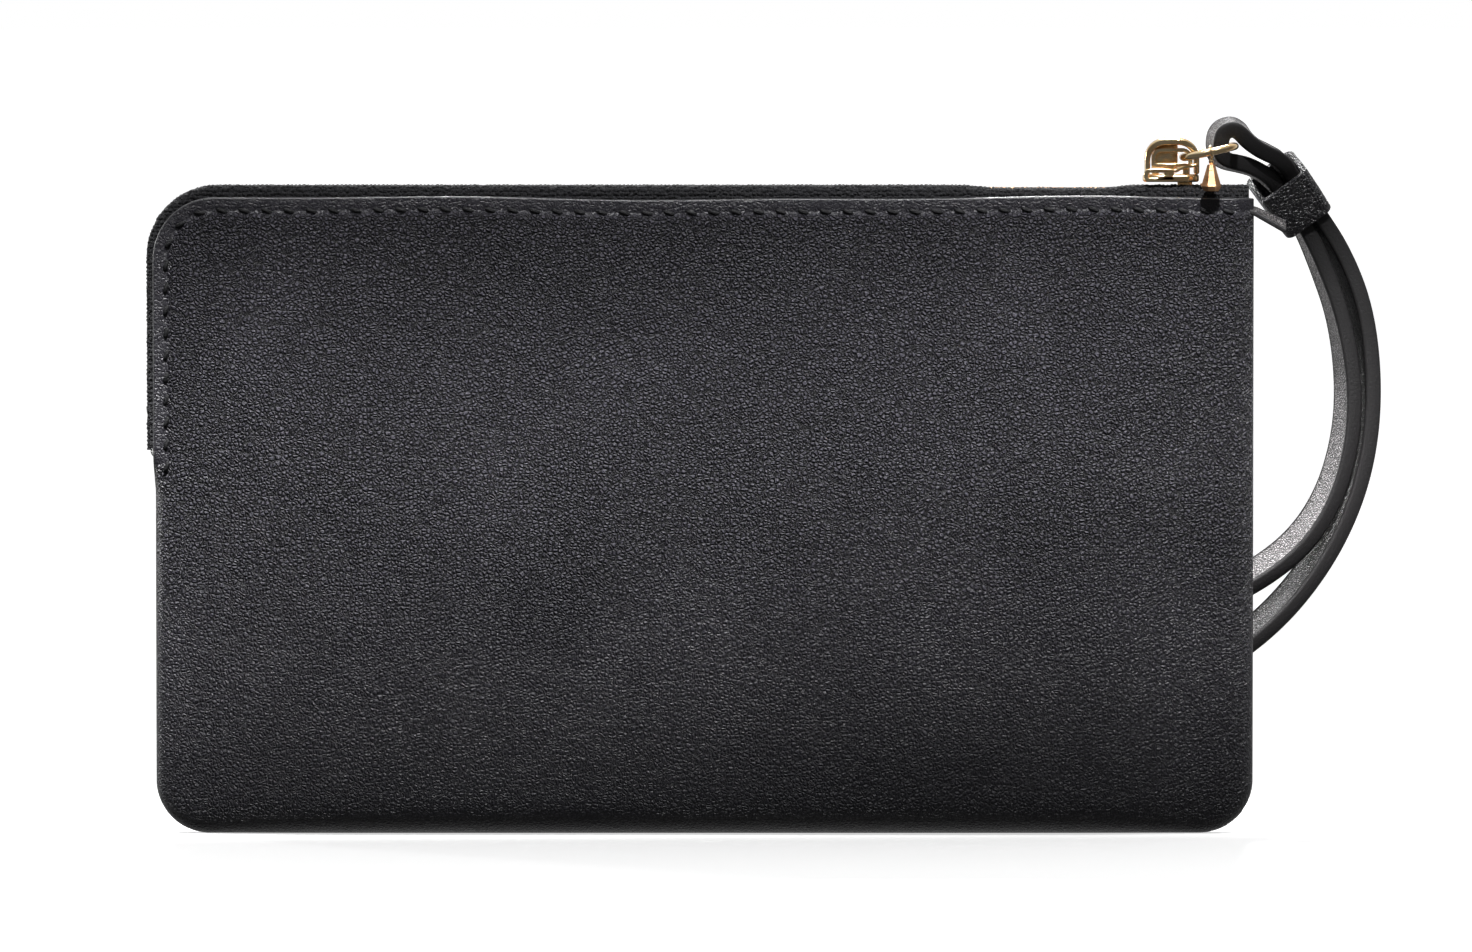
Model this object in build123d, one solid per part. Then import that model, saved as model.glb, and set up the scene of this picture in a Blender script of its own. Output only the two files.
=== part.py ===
"""Zip-around wristlet wallet: a flat leather pouch with a corner zip and a looped wrist strap.

Frame: +Z up, +X towards the zip's closed end, -Y towards the plain back panel.
The origin is the middle of the flat base that the pouch stands on. Millimetres.
"""
from build123d import *
from math import atan2, cos, degrees, radians, sin, tan
import os

# Pouch outline, seen from the back
LEFT = -81.6
RIGHT = 82.4
TOP = 94.8
CORNER_TOP_LEFT = 9.0
CORNER_TOP_RIGHT = 1.5
CORNER_BOTTOM = 8.0

# Pouch depth, one side of the middle plane
HALF_BELLY = 7.5
HALF_EDGE = 3.9
EDGE_FLAT = 8.0
BASE_CORNER = 3.5
TAPER_LOW = 62.0
PLAN_TAPER = 24.0
SOFT_CORNER = 20.0

# Layers, as depths below the outer face
LEATHER = 1.1
BOARD = 0.5
LINING = 0.4
LINING_DEPTH = LEATHER + BOARD
INNER_DEPTH = LINING_DEPTH + LINING
MOUTH = 86.2

# Zip
ZIP_LOW = 57.4
TAPE_LEFT = -82.8
TAPE_TOP = 96.9
TAPE_RIGHT = 81.2
TAPE_CORNER = 10.5
TAPE = 0.5
TAPE_IN = HALF_EDGE - LEATHER - TAPE
TOOTH_LONG = 0.9
TOOTH_TALL = 1.4
TOOTH_REACH = 0.5
TOOTH_PITCH = 2.12
CHAIN_DROP = 0.5
CHAIN_END = 70.6
STOP_LONG = 1.4

# Stitches
STITCH_IN = 1.8
STITCH_PITCH = 3.33
STITCH_LONG = 1.9
STITCH_THICK = 0.3
STITCH_WIDE = 0.42
STITCH_SLANT = 7.0
STITCH_LOW = 54.0
STITCH_END = 80.6

# Pockets
CARD_LEFT = -50.0
CARD_RIGHT = 42.0
CARD_TOPS = (42.0, 50.0, 58.0)
POCKET_LOW = 10.0
POCKET = 0.4
SLIP_HALF = 50.0
SLIP_TOP = 56.0

# Slider
SLIDER_LEFT = 65.8
SLIDER_RIGHT = 74.2
PLATE_HALF = 3.0
PLATE_LOW = 97.35
PLATE_TOP = 98.5
UNDER_LOW = 94.7
UNDER_TOP = 95.5
UNDER_HALF = 2.15
CAP_TOP = 103.9
CAP_HALF = 2.2
CAP_BAND = 0.8
CAP_CORNER = 3.0
LEVER_LEFT = 67.1
LEVER_RIGHT = 73.2
LEVER_LOW = 99.6
LEVER_TOP = 102.4
LEVER_HALF = 1.3
LEVER_BAND = 0.6

# Ring between slider and strap: its two end bars lie along Y
LINK_PIN = (71.9, 101.0)
LINK_BAR = (79.5, 102.7)
LINK_MIDDLE = 0.6
LINK_HALF = 5.9
LINK_CORNER = 3.2
LINK_WIRE = 0.55

# Hanging drop
DROP_ALONG = 4.0
EYE_MAJOR = 0.85
EYE_MINOR = 0.2
BALL = 0.4
BALL_DROP = 1.45
PIN_END = 2.6
DROP_SECTIONS = ((1.85, 0.6), (3.0, 0.95), (5.1, 1.6), (5.8, 1.15))
DROP_SIDES = 8

# Strap
STRAP_THICK = 2.2
STRAP_WIDE = 6.0
STRAND_GAP = 2.8
KEEPER_WALL = 1.0
KEEPER_PLAY = 0.15
KEEPER_START = (86.6, 98.2)
KEEPER_END = (91.0, 92.1)


def prism_xz(flat, y_low, y_high):
    """Solid of a face drawn in X and Z, between two depths."""
    return extrude(Plane.XZ.offset(-y_low) * flat, -(y_high - y_low))


def prism_yz(flat, x_low, x_high):
    """Solid of a face drawn in Y and Z, between two widths."""
    return extrude(Plane.YZ.offset(x_low) * flat, x_high - x_low)


def prism_xy(flat, z_low, z_high):
    """Solid of a face drawn in X and Y, between two heights."""
    return extrude(Plane.XY.offset(z_low) * flat, z_high - z_low)


def block(x_low, x_high, y_low, y_high, z_low, z_high):
    """Plain block between two corners."""
    size = Box(x_high - x_low, y_high - y_low, z_high - z_low)
    return Pos((x_low + x_high) / 2, (y_low + y_high) / 2, (z_low + z_high) / 2) * size


def rounded(points, radii):
    """Face through the points, each corner rounded by its own radius."""
    face = make_face(Polyline(*points, close=True))
    for point, radius in zip(points, radii):
        if radius > 0:
            corner = face.vertices().sort_by_distance(Vector(point[0], point[1], 0))[0]
            face = fillet(corner, radius)
    return face


def rectangle(left, right, low, high, radii):
    """Rounded rectangle; radii run from the lower left, counter-clockwise."""
    return rounded([(left, low), (right, low), (right, high), (left, high)], radii)


# ---- Pouch ----

def half_pouch(depth):
    """The back half of the pouch's volume, with its outer face moved in by depth."""
    belly = HALF_BELLY - depth
    edge = HALF_EDGE - depth
    bottom = CORNER_BOTTOM - depth
    outline = rectangle(LEFT + depth, RIGHT - depth, depth, TOP,
                        (bottom, bottom, CORNER_TOP_RIGHT, CORNER_TOP_LEFT - depth))
    section = rounded(
        [(0, depth), (-belly, depth), (-belly, TAPER_LOW), (-edge, TOP - EDGE_FLAT), (-edge, TOP), (0, TOP)],
        (0, BASE_CORNER - depth, SOFT_CORNER, SOFT_CORNER, 0, 0))
    plan = rounded(
        [(LEFT + depth, 0), (LEFT + depth, -edge), (LEFT + EDGE_FLAT, -edge), (LEFT + PLAN_TAPER, -belly),
         (RIGHT - PLAN_TAPER, -belly), (RIGHT - EDGE_FLAT, -edge), (RIGHT - depth, -edge), (RIGHT - depth, 0)],
        (0, 0, SOFT_CORNER, SOFT_CORNER, SOFT_CORNER, SOFT_CORNER, 0, 0))
    volume = prism_xz(outline, -HALF_BELLY, 0)
    volume = volume & prism_yz(section, LEFT, RIGHT)
    return volume & prism_xy(plan, 0, TOP)


def zip_gap(depth):
    """Space between the two leather edges along the zip, down to the given depth."""
    edge = HALF_EDGE - depth
    top = block(LEFT - EDGE_FLAT, RIGHT - depth, -edge, 0, TOP - EDGE_FLAT / 2, TOP + EDGE_FLAT)
    side = block(LEFT - EDGE_FLAT, LEFT + EDGE_FLAT / 2, -edge, 0, ZIP_LOW, TOP + EDGE_FLAT)
    return top + side


def tab_window():
    """Gap at the top of the right seam, where the zip's end tab comes out."""
    return block(RIGHT - 2 * LEATHER, RIGHT + 1, -TAPE_IN, TAPE_IN, TOP - 6.0, TOP + 1)


def back_panel():
    """Leather shell: one face, with its seam allowance turned in at the base and sides."""
    return half_pouch(0) - half_pouch(LEATHER) - zip_gap(LEATHER) - tab_window()


def back_stiffener():
    """Thin board between the leather and the lining."""
    sheet = half_pouch(LEATHER) - half_pouch(LINING_DEPTH)
    area = rectangle(LEFT + EDGE_FLAT + 2, RIGHT - EDGE_FLAT, EDGE_FLAT, MOUTH - 2, (6, 6, 2, 6))
    return sheet & prism_xz(area, -HALF_BELLY, 0)


def back_lining():
    """Fabric bag half, sewn to the zip tape below the mouth."""
    sheet = half_pouch(LINING_DEPTH) - half_pouch(INNER_DEPTH)
    sheet = sheet - block(LEFT - 1, RIGHT + 1, -HALF_BELLY, 1, MOUTH, TOP + 1)
    return sheet - block(LEFT - 1, LEFT + EDGE_FLAT + 0.6, -HALF_BELLY, 1, ZIP_LOW - 2, TOP + 1)


def card_pocket(index):
    """One card slot; the taller slots lie nearer the lining."""
    wall = HALF_BELLY - INNER_DEPTH
    outer = -wall + (len(CARD_TOPS) - 1 - index) * POCKET
    face = rectangle(CARD_LEFT, CARD_RIGHT, POCKET_LOW, CARD_TOPS[index], (2, 2, 1, 1))
    return prism_xz(face, outer, outer + POCKET)


def slip_pocket():
    """Wide open pocket on the front lining."""
    wall = HALF_BELLY - INNER_DEPTH
    face = rectangle(-SLIP_HALF, SLIP_HALF, POCKET_LOW, SLIP_TOP, (2, 2, 1, 1))
    return prism_xz(face, wall - POCKET, wall)


def front(shape):
    """The same piece on the front side."""
    return mirror(shape, about=Plane.XZ)


# ---- Zip ----

def zip_tape():
    """Back tape: a strip along the top, round the corner and down the side."""
    outer = rectangle(TAPE_LEFT, TAPE_RIGHT, ZIP_LOW, TAPE_TOP, (0, 0, 0, TAPE_CORNER))
    inner = rectangle(LEFT + EDGE_FLAT, RIGHT, ZIP_LOW - 1, TOP - EDGE_FLAT, (0, 0, 0, 0.5))
    return prism_xz(outer - inner, -(TAPE_IN + TAPE), -TAPE_IN)


def corner_path(left, low, top, right, radius):
    """Line up the left side, round the corner and along the top."""
    return FilletPolyline((left, low), (left, top), (right, top), radius=radius)


def along(path, shape, pitch, start, count):
    """Copies of a shape at equal steps along a path drawn in X and Z."""
    copies = []
    for index in range(count):
        share = (start + index * pitch) / path.length
        point = path.position_at(share)
        heading = path.tangent_at(share)
        turn = -degrees(atan2(heading.Y, heading.X))
        copies.append(Pos(point.X, 0, point.Y) * Rot(0, turn, 0) * shape)
    return copies


def chain_path():
    """Middle line of the interlocked teeth."""
    return corner_path(TAPE_LEFT + CHAIN_DROP, ZIP_LOW + 3, TAPE_TOP - CHAIN_DROP, CHAIN_END,
                       TAPE_CORNER - CHAIN_DROP)


def zip_teeth(side):
    """One row of teeth, reaching a little past the middle to mesh with the other row."""
    path = chain_path()
    start = TOOTH_LONG / 2 if side < 0 else (TOOTH_LONG + TOOTH_PITCH) / 2
    count = int((path.length - start - TOOTH_LONG / 2) / TOOTH_PITCH) + 1
    reach = TAPE_IN + TOOTH_REACH
    tooth = Pos(0, side * (TAPE_IN - reach / 2), 0) * Box(TOOTH_LONG, reach, TOOTH_TALL)
    return Compound(children=along(path, tooth, TOOTH_PITCH, start, count))


def zip_bottom_stop():
    """Staple across both tapes at the zip's open end."""
    middle = TAPE_LEFT + CHAIN_DROP
    return block(middle - TOOTH_TALL / 2, middle + TOOTH_TALL / 2, -TAPE_IN, TAPE_IN,
                 ZIP_LOW + 0.8, ZIP_LOW + 0.8 + STOP_LONG)


def zip_top_stops():
    """A stop on each tape, just past the closed slider."""
    middle = TAPE_TOP - CHAIN_DROP
    low = middle - TOOTH_TALL / 2
    left = SLIDER_RIGHT + 0.3
    back = block(left, left + STOP_LONG, -TAPE_IN, -1.0, low, low + TOOTH_TALL)
    return Compound(children=[back, front(back)])


def zip_end_tab():
    """Leather tab between the tapes, sticking out past the right seam."""
    outline = rounded([(77.0, 94.6), (82.6, 93.6), (87.2, 91.0), (86.8, 90.4), (82.4, 92.9), (77.0, 93.9)],
                      (0, 3, 0.2, 0.2, 3, 0))
    return prism_xz(outline, -TAPE_IN, TAPE_IN)


def stitching():
    """Row of slanted stitches on the back panel, beside the zip edge."""
    path = corner_path(LEFT + STITCH_IN, STITCH_LOW, TOP - STITCH_IN, STITCH_END, CORNER_TOP_LEFT - STITCH_IN)
    count = int((path.length - STITCH_LONG) / STITCH_PITCH) + 1
    thread = Rot(0, STITCH_SLANT, 0) * Box(STITCH_LONG, STITCH_THICK, STITCH_WIDE)
    thread = Pos(0, -(HALF_EDGE + STITCH_THICK / 2), 0) * thread
    return Compound(children=along(path, thread, STITCH_PITCH, STITCH_LONG / 2, count))


# ---- Slider ----

def slider_body():
    """Top and bottom plates joined by the wedge that parts the teeth."""
    length = SLIDER_RIGHT - SLIDER_LEFT
    middle = (SLIDER_LEFT + SLIDER_RIGHT) / 2
    top = prism_xy(Pos(middle, 0) * RectangleRounded(length, 2 * PLATE_HALF, 2.2), PLATE_LOW, PLATE_TOP)
    under = prism_xy(Pos(middle, 0) * RectangleRounded(length, 2 * UNDER_HALF, 1.6), UNDER_LOW, UNDER_TOP)
    wedge = rounded([(71.0, 0), (71.7, -0.6), (73.2, -0.6), (73.2, 0.6), (71.7, 0.6)], (0, 0, 0.3, 0.3, 0))
    neck = prism_xy(wedge, UNDER_TOP, PLATE_LOW)
    rear_post = block(67.2, 68.2, -LEVER_HALF, LEVER_HALF, PLATE_TOP, LEVER_LOW - 0.1)
    front_post = block(71.8, 72.8, -LEVER_HALF, LEVER_HALF, PLATE_TOP, LEVER_LOW - 0.1)
    return top + under + neck + rear_post + front_post


def slider_cap():
    """Arched cover over the lock lever, with a curled lug on its near side."""
    outer = rectangle(SLIDER_LEFT + 0.3, SLIDER_RIGHT, PLATE_TOP, CAP_TOP, (0, 0, CAP_CORNER, CAP_CORNER))
    corner = CAP_CORNER - CAP_BAND
    inner = rectangle(SLIDER_LEFT + 0.3 + CAP_BAND, SLIDER_RIGHT - CAP_BAND, PLATE_TOP - 1, CAP_TOP - CAP_BAND,
                      (0, 0, corner, corner))
    arch = prism_xz(outer - inner, -CAP_HALF, CAP_HALF)
    bar = rounded([(70.4, 98.6), (SLIDER_RIGHT, 99.3), (SLIDER_RIGHT, 100.2), (70.6, 99.5)], (0, 0, 0, 0))
    curl = Pos(70.5, 99.4) * Circle(0.8)
    lug = prism_xz(bar + curl, -CAP_HALF - 0.6, -CAP_HALF)
    return arch + lug


def slider_lock_lever():
    """Sprung frame whose window holds the ring; lifting the ring tilts it."""
    outer = rectangle(LEVER_LEFT, LEVER_RIGHT, LEVER_LOW, LEVER_TOP, (0.2, 0.2, 1.5, 1.5))
    window = rectangle(LEVER_LEFT + LEVER_BAND, LEVER_RIGHT - LEVER_BAND, LEVER_LOW + 0.5,
                       LEVER_TOP - LEVER_BAND, (0.1, 0.1, 0.8, 0.8))
    return prism_xz(outer - window, -LEVER_HALF, LEVER_HALF)


# ---- Ring and drop ----

LINK_RISE = atan2(LINK_BAR[1] - LINK_PIN[1], LINK_BAR[0] - LINK_PIN[0])
LINK_DIR = Vector(cos(LINK_RISE), 0, sin(LINK_RISE))


def strap_link():
    """Rounded oblong ring of round wire."""
    length = (LINK_BAR[0] - LINK_PIN[0]) / cos(LINK_RISE)
    middle = Vector(LINK_PIN[0], LINK_MIDDLE, LINK_PIN[1]) + LINK_DIR * (length / 2)
    plane = Plane(origin=middle, x_dir=LINK_DIR, z_dir=LINK_DIR.cross(Vector(0, 1, 0)))
    ring = RectangleRounded(length, 2 * LINK_HALF, LINK_CORNER).wire()
    start = Plane(origin=(0, LINK_HALF, 0), x_dir=(0, 1, 0), z_dir=(1, 0, 0))
    wire = sweep(start * Circle(LINK_WIRE), path=ring)
    return plane * wire


def drop_top():
    """Point on the ring's near side that the drop hangs from."""
    return Vector(LINK_PIN[0], LINK_MIDDLE - LINK_HALF, LINK_PIN[1]) + LINK_DIR * DROP_ALONG


def drop_pin():
    """Eye round the wire, a ball below it and a pin into the drop."""
    top = drop_top()
    eye = Plane(origin=top, z_dir=LINK_DIR) * Torus(EYE_MAJOR, EYE_MINOR)
    ball = Pos(top.X, top.Y, top.Z - BALL_DROP) * Sphere(BALL)
    length = PIN_END - EYE_MAJOR
    pin = Pos(top.X, top.Y, top.Z - EYE_MAJOR - length / 2) * Cylinder(EYE_MINOR, length)
    return eye + ball + pin


def faceted_drop():
    """Bell-shaped drop with flat facets, bored for the pin."""
    top = drop_top()
    faces = []
    for depth, radius in DROP_SECTIONS:
        place = Pos(top.X, top.Y, top.Z - depth)
        faces.append(place * RegularPolygon(radius, DROP_SIDES, rotation=180 / DROP_SIDES))
    bell = loft(faces, ruled=True)
    bore = Pos(top.X, top.Y, top.Z - PIN_END / 2) * Cylinder(EYE_MINOR, PIN_END)
    return bell - bore


# ---- Strap ----

def keeper_axes():
    """Unit vectors along the keeper, downwards, and across its two strands."""
    run = Vector(KEEPER_END[0] - KEEPER_START[0], KEEPER_END[1] - KEEPER_START[1], 0).normalized()
    return run, Vector(-run.Y, run.X, 0)


def keeper_point(start, run, side):
    """Strand centre beside the keeper's axis, moved along the axis by run."""
    down, across = keeper_axes()
    point = Vector(start[0], start[1], 0) + down * run + across * (side * STRAND_GAP / 2)
    return (point.X, point.Y)


def strap_points():
    """Corners of the strap's middle line: bight, right run, hidden end and left run."""
    bight = [(76.3, 100.9), (76.3, 106.1), (80.9, 106.3), keeper_point(KEEPER_START, -3.5, 1)]
    right_run = [keeper_point(KEEPER_END, 2.6, 1), (96.6, 86.0), (98.9, 78.5), (99.9, 68.5), (99.3, 58.5),
                 (96.9, 49.5), (92.3, 40.8), (85.8, 32.6), (77.4, 25.9), (67.6, 20.9), (55.5, 17.4)]
    end = [(40.5, 15.6), (40.5, 29.8)]
    left_run = [(54.0, 31.0), (64.5, 32.6), (74.0, 35.0), (82.4, 38.8), (89.2, 43.6), (94.0, 50.2),
                (96.5, 58.5), (96.9, 67.0), (95.4, 76.4), (93.0, 84.2), keeper_point(KEEPER_END, 2.6, -1)]
    return bight + right_run + end + left_run + [keeper_point(KEEPER_START, -3.0, -1)]


def bend_radii(points):
    """Largest radius that each corner's two runs allow."""
    radii = []
    for index, point in enumerate(points):
        here = Vector(*point, 0)
        before = here - Vector(*points[index - 1], 0)
        after = Vector(*points[(index + 1) % len(points)], 0) - here
        half_turn = radians(before.get_angle(after)) / 2
        radii.append(0.45 * min(before.length, after.length) / tan(half_turn))
    return radii


def strap_line():
    """Closed middle line of the strap, of straight runs and tangent arcs."""
    points = strap_points()
    return FilletPolyline(*points, radius=bend_radii(points), close=True)


LEAN = ((-14.0, 2.5), (0.8, 2.5), (7.4, 8.3), (15.5, 12.4), (75.0, 13.2))


def lean_slab(half_width):
    """Curtain that leads the strap from the ring's middle to clear of the front panel."""
    down, across = keeper_axes()
    near = [(run, depth - half_width) for run, depth in LEAN]
    far = [(run, depth + half_width) for run, depth in reversed(LEAN)]
    profile = make_face(Polyline(*near, *far, close=True))
    plane = Plane(origin=(LINK_BAR[0], 0, LINK_BAR[1]), x_dir=(down.X, 0, down.Y), z_dir=(across.X, 0, across.Y))
    reach = 130
    return extrude(plane.offset(-reach) * profile, 2 * reach)


def strap_layer(inner, outer):
    """Part of the strap's thickness, measured outwards from its middle line."""
    middle = make_face(strap_line())
    band = offset(middle, outer) - offset(middle, inner)
    depth = 40
    return prism_xz(band, -depth, depth) & lean_slab(STRAP_WIDE / 2)


def keeper_block(half_across, half_width, extra):
    """Leaning block along the keeper's axis."""
    down, across = keeper_axes()
    start = Vector(*KEEPER_START, 0) - down * extra
    finish = Vector(*KEEPER_END, 0) + down * extra
    side = across * half_across
    corners = [start - side, finish - side, finish + side, start + side]
    face = make_face(Polyline(*[(corner.X, corner.Y) for corner in corners], close=True))
    return prism_xz(face, -40, 40) & lean_slab(half_width)


def strap_keeper():
    """Leather sleeve round both strands."""
    half_across = (STRAND_GAP + STRAP_THICK) / 2 + KEEPER_PLAY
    half_width = STRAP_WIDE / 2 + KEEPER_PLAY
    outer = keeper_block(half_across + KEEPER_WALL, half_width + KEEPER_WALL, 0)
    return outer - keeper_block(half_across, half_width, 1)


def build():
    """Every piece by its node name."""
    pieces = {
        "back_panel": back_panel(),
        "back_stiffener": back_stiffener(),
        "back_lining": back_lining(),
        "zip_tape_back": zip_tape(),
        "stitching_back": stitching(),
    }
    for name in list(pieces):
        pieces[name.replace("back", "front")] = front(pieces[name])
    for index in range(len(CARD_TOPS)):
        pieces["card_pocket_%d" % (index + 1)] = card_pocket(index)
    pieces["slip_pocket"] = slip_pocket()
    pieces["zip_teeth_back"] = zip_teeth(-1)
    pieces["zip_teeth_front"] = zip_teeth(1)
    pieces["zip_bottom_stop"] = zip_bottom_stop()
    pieces["zip_top_stops"] = zip_top_stops()
    pieces["zip_end_tab"] = zip_end_tab()
    pieces["slider_body"] = slider_body()
    pieces["slider_cap"] = slider_cap()
    pieces["slider_lock_lever"] = slider_lock_lever()
    pieces["strap_link"] = strap_link()
    pieces["drop_pin"] = drop_pin()
    pieces["faceted_drop"] = faceted_drop()
    pieces["wrist_strap"] = strap_layer(0, STRAP_THICK / 2)
    pieces["strap_backing"] = strap_layer(-STRAP_THICK / 2, 0)
    pieces["strap_keeper"] = strap_keeper()
    return pieces


def main():
    """Write one STEP file for each piece."""
    os.makedirs("parts", exist_ok=True)
    print("strap middle line: %.1f mm" % strap_line().length)
    for name, shape in build().items():
        export_step(shape, "parts/%s.step" % name)


main()
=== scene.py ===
"""Looks of the wristlet wallet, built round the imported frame. Metres, +Z up, -Y towards the back panel."""
import math

import bmesh
import bpy
import numpy as np
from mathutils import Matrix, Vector, noise


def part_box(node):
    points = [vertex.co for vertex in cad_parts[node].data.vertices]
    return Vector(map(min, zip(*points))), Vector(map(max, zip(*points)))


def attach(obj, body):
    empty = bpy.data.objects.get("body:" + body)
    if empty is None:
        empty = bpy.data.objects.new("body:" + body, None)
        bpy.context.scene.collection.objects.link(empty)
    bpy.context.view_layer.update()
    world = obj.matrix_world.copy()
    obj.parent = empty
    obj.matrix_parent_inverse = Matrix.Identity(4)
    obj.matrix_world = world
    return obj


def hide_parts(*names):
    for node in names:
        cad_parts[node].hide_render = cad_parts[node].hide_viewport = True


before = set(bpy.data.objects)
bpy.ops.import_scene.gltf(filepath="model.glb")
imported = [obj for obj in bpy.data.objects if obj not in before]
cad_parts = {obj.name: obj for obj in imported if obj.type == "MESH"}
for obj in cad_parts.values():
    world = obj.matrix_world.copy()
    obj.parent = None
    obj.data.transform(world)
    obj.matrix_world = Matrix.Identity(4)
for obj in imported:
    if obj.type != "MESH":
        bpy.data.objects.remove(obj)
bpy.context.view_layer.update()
MM = 0.001

# ---- Driving places, read from the frame ----
PANEL_LOW, PANEL_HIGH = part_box("back_panel")
LEFT = PANEL_LOW[0]
RIGHT = PANEL_HIGH[0]
TOP = PANEL_HIGH[2]
BELLY = -PANEL_LOW[1]
TAPE_LOW, TAPE_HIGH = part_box("zip_tape_back")
TAPE_LEFT = TAPE_LOW[0]
TAPE_TOP = TAPE_HIGH[2]
ZIP_LOW = TAPE_LOW[2]
TAPE_OUT = -TAPE_LOW[1]
LEATHER = 1.1 * MM
EDGE = TAPE_OUT + LEATHER

CORNER_TOP = 9.0 * MM
CORNER_BASE = 8.0 * MM
STITCH_IN = 1.8 * MM
STITCH_PITCH = 3.33 * MM
STITCH_LENGTH = 2.0 * MM
STITCH_SLANT = -19.0
THREAD_RADIUS = 0.27 * MM
ROLL_BASE = 6.2 * MM
ROLL_SIDE = 6.0 * MM
ROLL_POWER = 2.6


# ---- Small tools ----

def smooth(low, high, value):
    """Smooth step from 0 at low to 1 at high, whichever of the two is larger."""
    t = np.clip((value - low) / (high - low), 0.0, 1.0)
    return t * t * (3.0 - 2.0 * t)


def finish_piece(obj, body, materials, replaced):
    """Gives a piece its materials and body, and hides the CAD nodes it stands for."""
    chosen = [face.material_index for face in obj.data.polygons]
    obj.data.materials.clear()
    for material in materials:
        obj.data.materials.append(material)
    for face, index in zip(obj.data.polygons, chosen):
        face.use_smooth = True
        face.material_index = min(index, len(materials) - 1)
    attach(obj, body)
    if replaced:
        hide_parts(*replaced)
    return obj


def mesh_piece(name, vertices, faces):
    """New object from lists of vertices and faces, with its normals made consistent."""
    mesh = bpy.data.meshes.new(name)
    mesh.from_pydata([tuple(map(float, v)) for v in vertices], [], faces)
    mesh.validate()
    shape = bmesh.new()
    shape.from_mesh(mesh)
    bmesh.ops.recalc_face_normals(shape, faces=shape.faces)
    shape.to_mesh(mesh)
    shape.free()
    obj = bpy.data.objects.new(name, mesh)
    bpy.context.scene.collection.objects.link(obj)
    return obj


def apply_modifiers(obj):
    """Turns the object's modifiers into its mesh."""
    graph = bpy.context.evaluated_depsgraph_get()
    mesh = bpy.data.meshes.new_from_object(obj.evaluated_get(graph))
    obj.modifiers.clear()
    obj.data = mesh
    return obj


def bevelled(obj, width, segments=3, angle=30.0):
    """Rounds the sharp edges of a mesh."""
    modifier = obj.modifiers.new("bevel", "BEVEL")
    modifier.width = width
    modifier.segments = segments
    modifier.limit_method = "ANGLE"
    modifier.angle_limit = math.radians(angle)
    modifier.harden_normals = False
    return apply_modifiers(obj)


def rounded_outline(points, radii, steps=8):
    """Corners of a flat outline, each replaced by an arc of its own radius."""
    outline = []
    count = len(points)
    for index, radius in enumerate(radii):
        here = Vector(points[index])
        before = (Vector(points[index - 1]) - here).normalized()
        after = (Vector(points[(index + 1) % count]) - here).normalized()
        half = before.angle(after) / 2
        if radius <= 0:
            outline.append(tuple(here))
            continue
        centre = here + (before + after).normalized() * (radius / math.sin(half))
        start = here + before * (radius / math.tan(half)) - centre
        stop = here + after * (radius / math.tan(half)) - centre
        turn = start.angle(stop)
        for step in range(steps + 1):
            share = step / steps
            blend = start * math.sin((1 - share) * turn) + stop * math.sin(share * turn)
            outline.append(tuple(centre + blend / math.sin(turn)))
    return outline


def rectangle(left, low, right, high):
    """Four corners of a flat outline."""
    return [(left, low), (right, low), (right, high), (left, high)]


def band_faces(rows, size, closed=False):
    """Faces between rows of vertices, each row a ring of one size. An open band is capped at both ends."""
    faces = []
    for row in range(rows if closed else rows - 1):
        here = row * size
        there = ((row + 1) % rows) * size
        for k in range(size):
            m = (k + 1) % size
            faces.append((here + k, here + m, there + m, there + k))
    if not closed:
        faces.append(tuple(range(size)))
        faces.append(tuple(range((rows - 1) * size, rows * size)))
    return faces


def extruded(name, outline, low, high, hole=None, axis="Y"):
    """Plate of a flat outline (with a hole if given), between two places along an axis."""
    shape = bmesh.new()
    loops = [outline] + ([hole] if hole else [])
    edges = []
    for loop in loops:
        ring = [shape.verts.new(placed(a, b, low, axis)) for a, b in loop]
        edges += [shape.edges.new((ring[i - 1], ring[i])) for i in range(len(ring))]
    bmesh.ops.triangle_fill(shape, edges=edges, use_beauty=True)
    made = bmesh.ops.extrude_face_region(shape, geom=shape.faces[:])
    move = Vector(placed(0, 0, high - low, axis))
    bmesh.ops.translate(shape, verts=[v for v in made["geom"] if isinstance(v, bmesh.types.BMVert)], vec=move)
    bmesh.ops.recalc_face_normals(shape, faces=shape.faces)
    bmesh.ops.dissolve_limit(shape, angle_limit=0.01, verts=shape.verts, edges=shape.edges)
    mesh = bpy.data.meshes.new(name)
    shape.to_mesh(mesh)
    shape.free()
    obj = bpy.data.objects.new(name, mesh)
    bpy.context.scene.collection.objects.link(obj)
    return obj


def placed(a, b, along, axis):
    """Point of an outline: drawn in X and Z when extruded along Y, in X and Y when along Z."""
    return (a, along, b) if axis == "Y" else (a, b, along)


def joined(objects, name):
    """One object out of several."""
    with bpy.context.temp_override(active_object=objects[0], selected_editable_objects=objects):
        bpy.ops.object.join()
    objects[0].name = name
    return objects[0]


# ---- Materials ----

def new_material(name, colour, roughness, metallic=0.0, specular=0.5):
    """Principled material with the numbers that are the same all over."""
    material = bpy.data.materials.new(name)
    material.use_nodes = True
    shader = material.node_tree.nodes["Principled BSDF"]
    shader.inputs["Base Color"].default_value = (*colour, 1.0)
    shader.inputs["Roughness"].default_value = roughness
    shader.inputs["Metallic"].default_value = metallic
    shader.inputs["Specular IOR Level"].default_value = specular
    return material, shader


def add_node(material, kind, **inputs):
    """Node with its named input values set."""
    node = material.node_tree.nodes.new(kind)
    for label, value in inputs.items():
        node.inputs[label.replace("_", " ")].default_value = value
    return node


def link(material, source, target):
    """Joins one node's output to another's input."""
    material.node_tree.links.new(source, target)


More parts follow.
